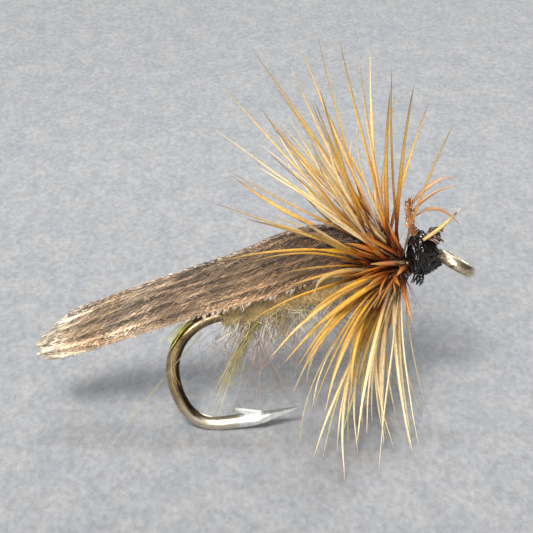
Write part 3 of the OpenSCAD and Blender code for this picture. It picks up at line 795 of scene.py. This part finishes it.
# long strands bow off the body, and short fuzz hangs below it
for i in range(LONG_STRANDS + FUZZ):
    strand = i < LONG_STRANDS
    station = body_from + (body_to - body_from) * uniform(0.03, 0.97)
    angle = math.pi + rng.normal(0, 1.1 if strand else 0.75)
    found = skin_point(body_tree, station, angle)
    if found is None:
        continue
    at, out = found
    at = at - out * (thinned(at, about_axis(station, angle)[0], out, station) + 0.03 * MM)
    if strand:
        go = out * uniform(0.05, 0.35) + shank_dir * uniform(-1.2, 0.5)
        go = unit(go - shank_up * uniform(0, 0.25))
        reach = uniform(0.5, 1.3) * MM
        thick = uniform(0.009, 0.014)
    else:
        go = unit(out + jitter(0.55))
        reach = rng.gamma(4, 0.09) * MM
        thick = uniform(0.006, 0.010)
    path = curled(bowed(at, go * reach, np.array([0, 0, -0.25]) * reach, 9),
                  uniform(0.4, 1.6), reach * uniform(0.02, 0.12), 12)
    dubbing.add(path, np.linspace(thick, 0.5 * thick, 12) * MM, uniform(0.45, 1.0), 4)
dubbing.build("dubbing_fur", fur, "dubbing_body", "dubbing_body")


def loose_hairs(name, copies, width, turns, curl, stray, look, low=0.0, longest=1.0):
    """Finer, curlier hairs down each hair of a CAD node, from its upper end."""
    hairs = Strands()
    for points in islands(name):
        path = fibre_path(points, points_middle("dubbing_body"))
        if path[0, 2] < path[-1, 2]:
            path = path[::-1]
        length = np.linalg.norm(path[-1] - path[0])
        for _ in range(copies):
            shift = jitter(stray * MM)
            t = np.linspace(0, 1, len(path))[:, None]
            reach = uniform(0.6, longest)
            line = path[0] + (path - path[0]) * reach + shift * t + jitter(0.06 * MM)
            line = curled(line, uniform(*turns), length * uniform(0, curl))
            line[:, 2] = np.maximum(line[:, 2], floor_z + width * MM)
            radius = width * MM * uniform(0.7, 1.2) * np.linspace(1, 0.35, len(line))
            hairs.add(line, radius, uniform(low, 1.0), 4)
    hairs.stand_in(name, look)


loose_hairs("guard_hairs", 6, 0.0095, (0.8, 2.8), 0.24, 0.25,
            hair_look("guard_hair", (0.07, 0.05, 0.035), (0.42, 0.34, 0.24), 0.42, 0.15),
            longest=1.9)
loose_hairs("olive_tufts", 5, 0.012, (0.3, 1.0), 0.05, 0.06,
            hair_look("olive_fur", (0.30, 0.24, 0.045), (0.74, 0.64, 0.26), 0.5, 0.4),
            longest=1.2)
loose_hairs("russet_hairs", 2, 0.013, (0.2, 0.7), 0.05, 0.12,
            hair_look("russet_hair", (0.20, 0.055, 0.02), (0.48, 0.22, 0.10), 0.42, 0.2),
            longest=1.3)
loose_hairs("tag_strand", 4, 0.017, (0.2, 0.6), 0.03, 0.08,
            hair_look("tag_yarn", (0.62, 0.58, 0.04), (1.0, 0.95, 0.22), 0.4, 0.4), 0.2)
loose_hairs("bend_fibre", 3, 0.015, (0.2, 0.5), 0.01, 0.02,
            hair_look("gold_fibre", (0.42, 0.22, 0.05), (0.72, 0.46, 0.14), 0.35, 0.25))
loose_hairs("stray_fibre", 2, 0.013, (0.2, 0.5), 0.012, 0.05,
            hair_look("faint_fibre", (0.34, 0.33, 0.14), (0.50, 0.48, 0.24), 0.4, 0.45))


# ---- loose and cut barbs
def single_barbs(name, look, width):
    """Finer barbs for a node of loose ones, all of nearly one shade."""
    strands = Strands()
    for points in islands(name):
        barb(strands, fibre_path(points, head_mid), width * MM, uniform(0.4, 0.6))
    strands.stand_in(name, look)


FOX = [(0.0, (0.50, 0.24, 0.10)), (0.3, (0.62, 0.34, 0.15)), (0.7, (0.68, 0.40, 0.20)),
       (1.0, (0.58, 0.38, 0.22))]
CAUGHT = [(0.0, (0.50, 0.33, 0.13)), (0.6, (0.56, 0.38, 0.12)), (0.78, (0.36, 0.22, 0.07)),
          (0.86, (0.05, 0.03, 0.02)), (0.92, (0.50, 0.42, 0.24)), (1.0, (0.62, 0.55, 0.34))]
single_barbs("forward_barbs", feather_barb("hackle_fox", FOX, STRAW, 0.4, 0.4), 0.12)
single_barbs("trapped_barb", feather_barb("hackle_caught", CAUGHT, STRAW, 0.32, 0.2), 0.125)

# Rusty barbs that stand close round the hub, the first of them on its upper near side
# their near-black roots are partly painted shade of the crowded hub
RUST = [(0.0, (0.05, 0.010, 0.004)), (0.26, (0.20, 0.038, 0.008)), (0.52, (0.56, 0.155, 0.018)),
        (0.8, (0.62, 0.28, 0.05)), (1.0, (0.45, 0.24, 0.07))]
HUB_BARBS, NEAR_SIDE, HUB_ROOT = 34, 18, 0.44 * MM
rust = Strands()
for i in range(HUB_BARBS):
    around = uniform(-1.6, -0.3) if i < NEAR_SIDE else uniform(-2.0, 0.9)
    station = uniform(-0.2, 0.62) * MM
    start = round_shank(station, HUB_ROOT, around)
    out = unit(start - round_shank(station, 0, 0))
    go = unit(out - shank_dir * uniform(0.1, 0.8) + jitter(0.1))
    reach = uniform(1.4, 2.9) * MM
    path = bowed(start, go * reach, unit(jitter()) * reach * 0.1, 6)
    barb(rust, path, uniform(0.12, 0.19) * MM, uniform(0.3, 0.75))
rust.build("hub_barbs", feather_barb("hackle_rust", RUST, STRAW, 0.32, 0.25), "brown_near_barbs")

# Trimmed butts over the head
butt_hair = hair_look("butts", (0.008, 0.004, 0.003), (0.13, 0.055, 0.022), 0.2, 0.03)
BUTT_DROP = np.array([0, 0, 0.15 * MM])
butts = Strands()
for points in islands("wing_butts"):
    path = fibre_path(points, points_middle("dubbing_body"))
    t = np.linspace(0, 1, len(path))[:, None]
    for _ in range(5):
        line = path + jitter(0.05 * MM) + jitter(0.06 * MM) * t
        line = path[0] + (line - BUTT_DROP - path[0]) * uniform(0.5, 0.85)
        butts.add(resample(line, 8), np.linspace(0.05, 0.045, 8) * MM * uniform(0.6, 1.2),
                  uniform(0, 1), 6, 0.6)
butts.stand_in("wing_butts", butt_hair)


def stem_look(name, dark, light, rough=0.22):
    """Polished feather shaft with grain along it."""
    look = Look(name)
    grain = look.noise(look.place((3, 3, 0.6)), 2.5, 4, 0.6)
    tone = look.ramp(grain, [(0.3, dark), (0.7, light)])
    look.colour(look.tint(tone, look.grey("shade", [(0, 0.5), (0.5, 1.0), (1, 1.5)])))
    look.rough(grain, [(0.3, rough), (0.7, rough + 0.16)])
    look.bump(grain, 0.01, 0.6)
    look.set(Specular_IOR_Level=0.6, Coat_Weight=0.5, Coat_Roughness=0.12)
    return look.material


# Cut stub: a shaft with the sheared bases of its barbs down both sides
STUB_RINGS, STUB_TEETH = 60, 44
stub_points = islands("clipped_stem")[0]
stub_slices = np.array_split(stub_points[np.argsort(stub_points[:, 2])], 14)
stub_line = resample(np.array([points.mean(0) for points in stub_slices]), STUB_RINGS)
stub = Strands()
t = np.linspace(0, 1, STUB_RINGS)
stub.add(stub_line, (0.085 - 0.045 * t) * MM, 0.55, 10)
for i in range(STUB_TEETH):
    k = int(1 + (STUB_RINGS - 3) * i / STUB_TEETH)
    run = unit(stub_line[k + 1] - stub_line[k])
    for way in (1, -1):
        out = unit(np.array([way, -0.35 + 0.3 * rng.normal(), 0]) + run * 0.7 + jitter(0.12))
        reach = (0.16 - 0.05 * t[k]) * MM * uniform(0.7, 1.2)
        start = stub_line[k] + out * 0.02 * MM
        path = [start, start + out * reach * 0.55, start + out * reach]
        # most barb bases on the +X side are painted near-black: painted shade on the side away from
        # the light
        stub.add(path, np.array([0.034, 0.027, 0.031]) * MM * uniform(0.8, 1.15),
                 0.05 if way > 0 and uniform() < 0.7 else uniform(0.2, 0.9), 6)
stub_look = stem_look("stub_quill", (0.06, 0.02, 0.007), (0.40, 0.16, 0.04), 0.13)
stub.stand_in("clipped_stem", stub_look)


# ---- thread and head
def thread_look(name, dark, light, rough, gloss):
    """Waxed thread: fine twisted filaments, dull where dry and shiny where waxed."""
    look = Look(name)
    fine = look.noise(look.place(), 40, 3, 0.6)
    soft = look.noise(look.place(), 4, 3, 0.6)
    tone = look.ramp(fine, [(0.3, dark), (0.75, light)])
    look.colour(look.tint(tone, look.grey(soft, [(0.3, 0.6), (0.7, 1.3)])))
    look.rough(soft, [(0.3, rough - 0.12), (0.7, rough + 0.12)])
    look.bump(fine, 0.006, 0.6)
    look.set(Specular_IOR_Level=0.5, Coat_Weight=gloss, Coat_Roughness=0.15)
    return look.material


black_thread = thread_look("black_thread", (0.002, 0.0018, 0.0016), (0.010, 0.008, 0.007),
                           0.24, 0.7)
brown_thread = thread_look("brown_thread", (0.03, 0.016, 0.008), (0.13, 0.07, 0.035), 0.5, 0.25)
# both stems are painted dark brown: painted shade where their ends show between hackle and head,
# and for the brown stem partly its own colour
brown_stem = stem_look("stem_brown", (0.05, 0.014, 0.005), (0.16, 0.055, 0.018))
cream_stem = stem_look("stem_cream", (0.07, 0.022, 0.008), (0.24, 0.10, 0.035))


def paint(name, material):
    """Gives a CAD node that stays in view its material."""
    nodes[name].data.materials.clear()
    nodes[name].data.materials.append(material)


paint("thread_underbody", brown_thread)
paint("wing_tie_wraps", black_thread)
paint("whip_finish", black_thread)
paint("brown_hackle_stem", brown_stem)
paint("cream_hackle_stem", cream_stem)

head_tree = surface_tree("head_thread")
head_from, head_to = stations("head_thread")
head = Strands()
HEAD_REACH = 1.5 * MM  # rays at the head start this far from the axis
under_skin(head, head_tree, head_from, head_to, 48, 48, 0.01, HEAD_REACH, 0.25 * MM,
           lambda at, centre, out, along: 0.05 * MM)
TURNS, TURN_POINTS = 12, 26
# one layer of turns goes forward, and the next comes back across it at a tilt
for layer, (start, end, tilt) in enumerate(((0.03, 0.97, 0.0), (0.9, 0.12, 0.12))):
    path = []
    for t in np.linspace(0, 1, TURNS * TURN_POINTS):
        angle = t * TURNS * 2 * math.pi
        part = start + (end - start) * t + tilt * 0.3 * math.sin(angle + 1)
        part = min(max(part, 0.02), 0.98)
        station = head_from + (head_to - head_from) * part
        found = skin_point(head_tree, station, angle, HEAD_REACH)
        if found:
            wobble = 0.008 * math.sin(angle * 0.37 + layer) + 0.006 * math.sin(angle * 1.7)
            path.append(found[0] + found[1] * (wobble - 0.012 + 0.02 * layer) * MM)
    head.add(path, 0.042 * MM, 0.5, 8, 0.8)
head.stand_in("head_thread", black_thread)

lacquer = Look("lacquer")
lumps = lacquer.noise(lacquer.place(), 2.2, 4, 0.6)
specks = lacquer.noise(lacquer.place(), 7, 3, 0.55)
lacquer.colour(lacquer.ramp(lumps, [
    (0.3, (0.002, 0.0017, 0.0015)), (0.62, (0.006, 0.0045, 0.004)), (0.8, (0.03, 0.014, 0.008))]))
lacquer.rough(specks, [(0.35, 0.05), (0.7, 0.15)])
lacquer.bump(specks, 0.018, 0.6)
lacquer.set(Specular_IOR_Level=0.38, Coat_Weight=0.3, Coat_Roughness=0.03)
cap_from, cap_to = stations("head_lacquer")
TURN_PITCH = 0.115 * MM  # spacing of the turns that show through the lacquer


def rounded_cap(co):
    """Draws the cap's ends in to the wire and shows the thread turns through it."""
    from_axis = np.array(co) - shank_from
    along = from_axis @ axis_dir
    out = from_axis - along * axis_dir
    t = (along - cap_from) / (cap_to - cap_from)
    radius = np.linalg.norm(out)
    ridges = 0.016 * MM * math.sin(2 * math.pi * along / TURN_PITCH) * (radius > 0.5 * MM)
    pull = 1 - 0.22 * ease((t - 0.62) / 0.38) - 0.22 * ease((0.2 - t) / 0.2)
    pull += 0.13 * max(0.0, unit(out) @ axis_up) * ease(t / 0.3)
    return Vector(shank_from + along * axis_dir + out * pull + unit(out) * ridges)


cap = bmesh.new()
cap.from_mesh(nodes["head_lacquer"].data)
bmesh.ops.remove_doubles(cap, verts=cap.verts, dist=1e-7)
bmesh.ops.subdivide_edges(cap, edges=cap.edges, cuts=2, use_grid_fill=True, smooth=0.6)
for v in cap.verts:
    v.co = rounded_cap(v.co)
cap.normal_update()
# soft lumps some 0.3 mm across and small ones of 0.1 mm
moves = [v.normal * (0.075 * noise.fractal(v.co * 3000, 1.0, 2.0, 2)
                     + 0.02 * noise.noise(v.co * 8000)) * MM for v in cap.verts]
for v, move in zip(cap.verts, moves):
    v.co += move
cap_mesh = bpy.data.meshes.new("head_lacquer_fine")
cap.to_mesh(cap_mesh)
cap.free()
add_piece("head_lacquer_fine", cap_mesh, lacquer.material, "head_lacquer", "head_lacquer")

ABOVE_HEAD = head_mid + np.array([0, 0, 5 * MM])
tags = Strands()
s = np.linspace(0, 1, 12)
for points in islands("thread_tags"):
    path = fibre_path(points, ABOVE_HEAD)
    t = np.linspace(0, 1, len(path))[:, None]
    for c in range(2):
        line = path + jitter(0.03 * MM) * (0.3 + t)
        line = resample(path[0] + (line - path[0]) * uniform(0.7, 1.02), len(s))
        tags.add(line, (0.115 - 0.09 * s + 0.010 * np.sin(s * 19 + c)) * MM, 0.5, 8, 0.8)
tags.stand_in("thread_tags", lacquer.material)


# ---- hook
BEND_MIDDLE = (-8.5, 0, -4.2)
SPEAR_BARE = -7.4  # the plating is ground off from here to the point
wire = Look("bronzed_wire")
where = wire.place()
parts = wire.node("SeparateXYZ")
wire.link(where, 0, parts, 0)


def step(out, start, end, source=parts):
    """A mask that rises from 0 to 1 as one output of source goes from start to end."""
    mask = wire.node("MapRange", interpolation_type="SMOOTHSTEP")
    mask.inputs["From Min"].default_value = start
    mask.inputs["From Max"].default_value = end
    wire.link(source, out, mask, "Value")
    return mask


def both(a, b):
    """Product of two masks."""
    product = wire.node("Math", operation="MULTIPLY")
    wire.link(a, 0, product, 0)
    wire.link(b, 0, product, 1)
    return product


patina = wire.ramp(wire.noise(where, 1.1, 4, 0.62, 0.3), [
    (0.30, (0.10, 0.062, 0.028)), (0.5, (0.34, 0.24, 0.13)), (0.72, (0.50, 0.385, 0.24))])
bright = wire.ramp(wire.noise(wire.place((1, 1, 2)), 2.6, 3, 0.6, 0.4), [
    (0.34, (0.22, 0.15, 0.08)), (0.44, (0.60, 0.50, 0.35)), (0.7, (0.74, 0.64, 0.48))])
bronze = wire.mix(patina, bright, step("X", -1.0, -0.3))  # brighter round the eye
# painted reflection: the low part of the bend is painted pale
painted_reflection_low_bend = both(step("Z", -4.6, -5.9), step("X", -10.2, -8.6))
bronze = wire.mix(bronze, (0.70, 0.62, 0.48), painted_reflection_low_bend)
# painted shade: the inner side of the bend, which faces away from the light, is painted dark
inward = wire.vector("NORMALIZE", wire.vector("SUBTRACT", BEND_MIDDLE, where))
facing = wire.vector("DOT_PRODUCT", inward)
wire.link(wire.node("NewGeometry"), "Normal", facing, 1)
painted_shade_inner_bend = both(step("Value", 0.0, 0.45, facing), step("X", -8.2, -9.2))
bronze = wire.mix(bronze, (0.045, 0.034, 0.02), painted_shade_inner_bend)
# painted shade: wire under the dressing is painted dark, where it shows through gaps
under = both(step("X", -7.9, -7.5), step("X", -0.7, -0.95))
bronze = wire.mix(bronze, (0.035, 0.022, 0.014), both(under, step("Z", -2.6, -2.2)))
steel = wire.ramp(wire.noise(wire.place((4, 1, 1)), 2.2, 3), [
    (0.3, (0.74, 0.73, 0.71)), (0.7, (0.95, 0.95, 0.94))])
bare = both(step("Z", -4.2, -4.6), step("X", SPEAR_BARE - 0.15, SPEAR_BARE + 0.2))
wire.colour(wire.mix(bronze, steel, bare))
scratch = wire.noise(wire.place((1, 5, 1)), 5, 4, 0.6)
rough = wire.mix(wire.grey(scratch, [(0.3, 0.24), (0.7, 0.42)]),
                 wire.grey(scratch, [(0.3, 0.36), (0.7, 0.48)]), bare)
wire.feed(rough, wire.shader.inputs["Roughness"])
wire.bump(scratch, 0.003, 0.15)
wire.set(Metallic=1.0)
paint("hook", wire.material)


# ---- camera, light, floor
def aim(obj, target):
    obj.rotation_mode = "QUATERNION"
    obj.rotation_quaternion = (Vector(target) - obj.location).to_track_quat("-Z", "Y")


VIEW_WIDTH = 18.122 * MM  # of the frame at the fly
VIEW_MIDDLE, VIEW_DROP = Vector((-6.4 * MM, 0, 0)), 0.12 * MM
VIEW_PITCH = math.radians(20)  # looking down
LENS, SENSOR = 150.0, 36.0
camera_data = bpy.data.cameras.new("camera")
camera_data.lens = LENS
camera_data.sensor_width = SENSOR
camera = add_object("camera", camera_data)
bpy.context.scene.camera = camera
view_dir = Vector((0, math.cos(VIEW_PITCH), -math.sin(VIEW_PITCH)))
view_up = Vector((0, math.sin(VIEW_PITCH), math.cos(VIEW_PITCH)))
distance = VIEW_WIDTH * LENS / SENSOR
middle = VIEW_MIDDLE - view_up * VIEW_DROP
camera.location = middle - view_dir * distance
aim(camera, middle)
camera_data.clip_start = distance * 0.05
camera_data.clip_end = distance * 60

ground = Look("floor_paper")
OFF_LATTICE = (3.37, 17.61, 0.43)  # keeps the noise's lattice planes away from the fly
sheet = ground.vector("ADD", ground.place((1, 0.45, 1)), OFF_LATTICE)
paper = ground.ramp(ground.noise(sheet, 0.9, 6, 0.68), [
    (0.36, (0.285, 0.298, 0.320)), (0.5, (0.312, 0.319, 0.331)), (0.64, (0.342, 0.342, 0.343))])
grain = ground.noise(sheet, 5.3, 3, 0.6)
paper = ground.tint(paper, ground.grey(grain, [(0.32, 0.84), (0.68, 1.14)]))
# a little darker at the front, where the light is nearer
floor_parts = ground.node("SeparateXYZ")
ground.link(ground.place(), 0, floor_parts, 0)
even = ground.node("MapRange")
for key, value in (("From Min", -10), ("From Max", 30), ("To Min", 0.81), ("To Max", 0.98)):
    even.inputs[key].default_value = value
ground.link(floor_parts, "Y", even, "Value")
ground.colour(ground.tint(paper, even))
ground.bump(ground.noise(sheet, 3.3, 5, 0.65), 0.05, 0.5)
ground.set(Roughness=0.85, Specular_IOR_Level=0.2)
REACH = 0.4  # half the floor's side
floor_mesh = bpy.data.meshes.new("floor")
floor_mesh.from_pydata([(-REACH, -REACH, floor_z), (REACH, -REACH, floor_z),
                        (REACH, REACH, floor_z), (-REACH, REACH, floor_z)], [], [[0, 1, 2, 3]])
floor_mesh.materials.append(ground.material)
floor = add_object("floor", floor_mesh)


def softbox(name, at, size, power, colour):
    data = bpy.data.lights.new(name, "AREA")
    data.shape = "RECTANGLE"
    data.size, data.size_y = size
    data.energy = power
    data.color = colour
    lamp = add_object(name, data)
    lamp.location = at
    aim(lamp, middle)


softbox("key", (-0.07, -0.34, 0.29), (0.11, 0.10), 3.45, (1.0, 0.985, 0.96))
softbox("high", (-0.03, -0.19, 0.38), (0.12, 0.12), 0.35, (0.99, 0.99, 1.0))
softbox("top", (0.01, 0.03, 0.40), (0.10, 0.10), 0.6, (0.98, 0.99, 1.0))
softbox("fill", (-0.15, -0.42, 0.07), (0.22, 0.10), 1.1, (0.98, 0.99, 1.0))
softbox("back", (0.12, 0.38, 0.17), (0.14, 0.10), 0.45, (0.98, 0.99, 1.0))
world = bpy.data.worlds.new("world")
bpy.context.scene.world = world
world.use_nodes = True
# a cool grey dome, dark at the horizon and lighter overhead
sky = world.node_tree
toward = sky.nodes.new("ShaderNodeTexCoord")
split = sky.nodes.new("ShaderNodeSeparateXYZ")
dome = sky.nodes.new("ShaderNodeValToRGB")
stops = dome.color_ramp.elements
for element, (height, level) in zip([stops[0], stops[1], stops.new(0.4)],
                                    ((0.0, 0.05), (1.0, 0.50), (0.4, 0.22))):
    element.position = height
    element.color = (level * 0.97, level * 0.99, level * 1.03, 1)
sky.links.new(toward.outputs["Generated"], split.inputs[0])
sky.links.new(split.outputs["Z"], dome.inputs[0])
sky.links.new(dome.outputs[0], sky.nodes["Background"].inputs[0])
sky.nodes["Background"].inputs[1].default_value = 0.28
bpy.context.scene.view_settings.view_transform = "Standard"

# ---- last update of the scene
bpy.context.view_layer.update()
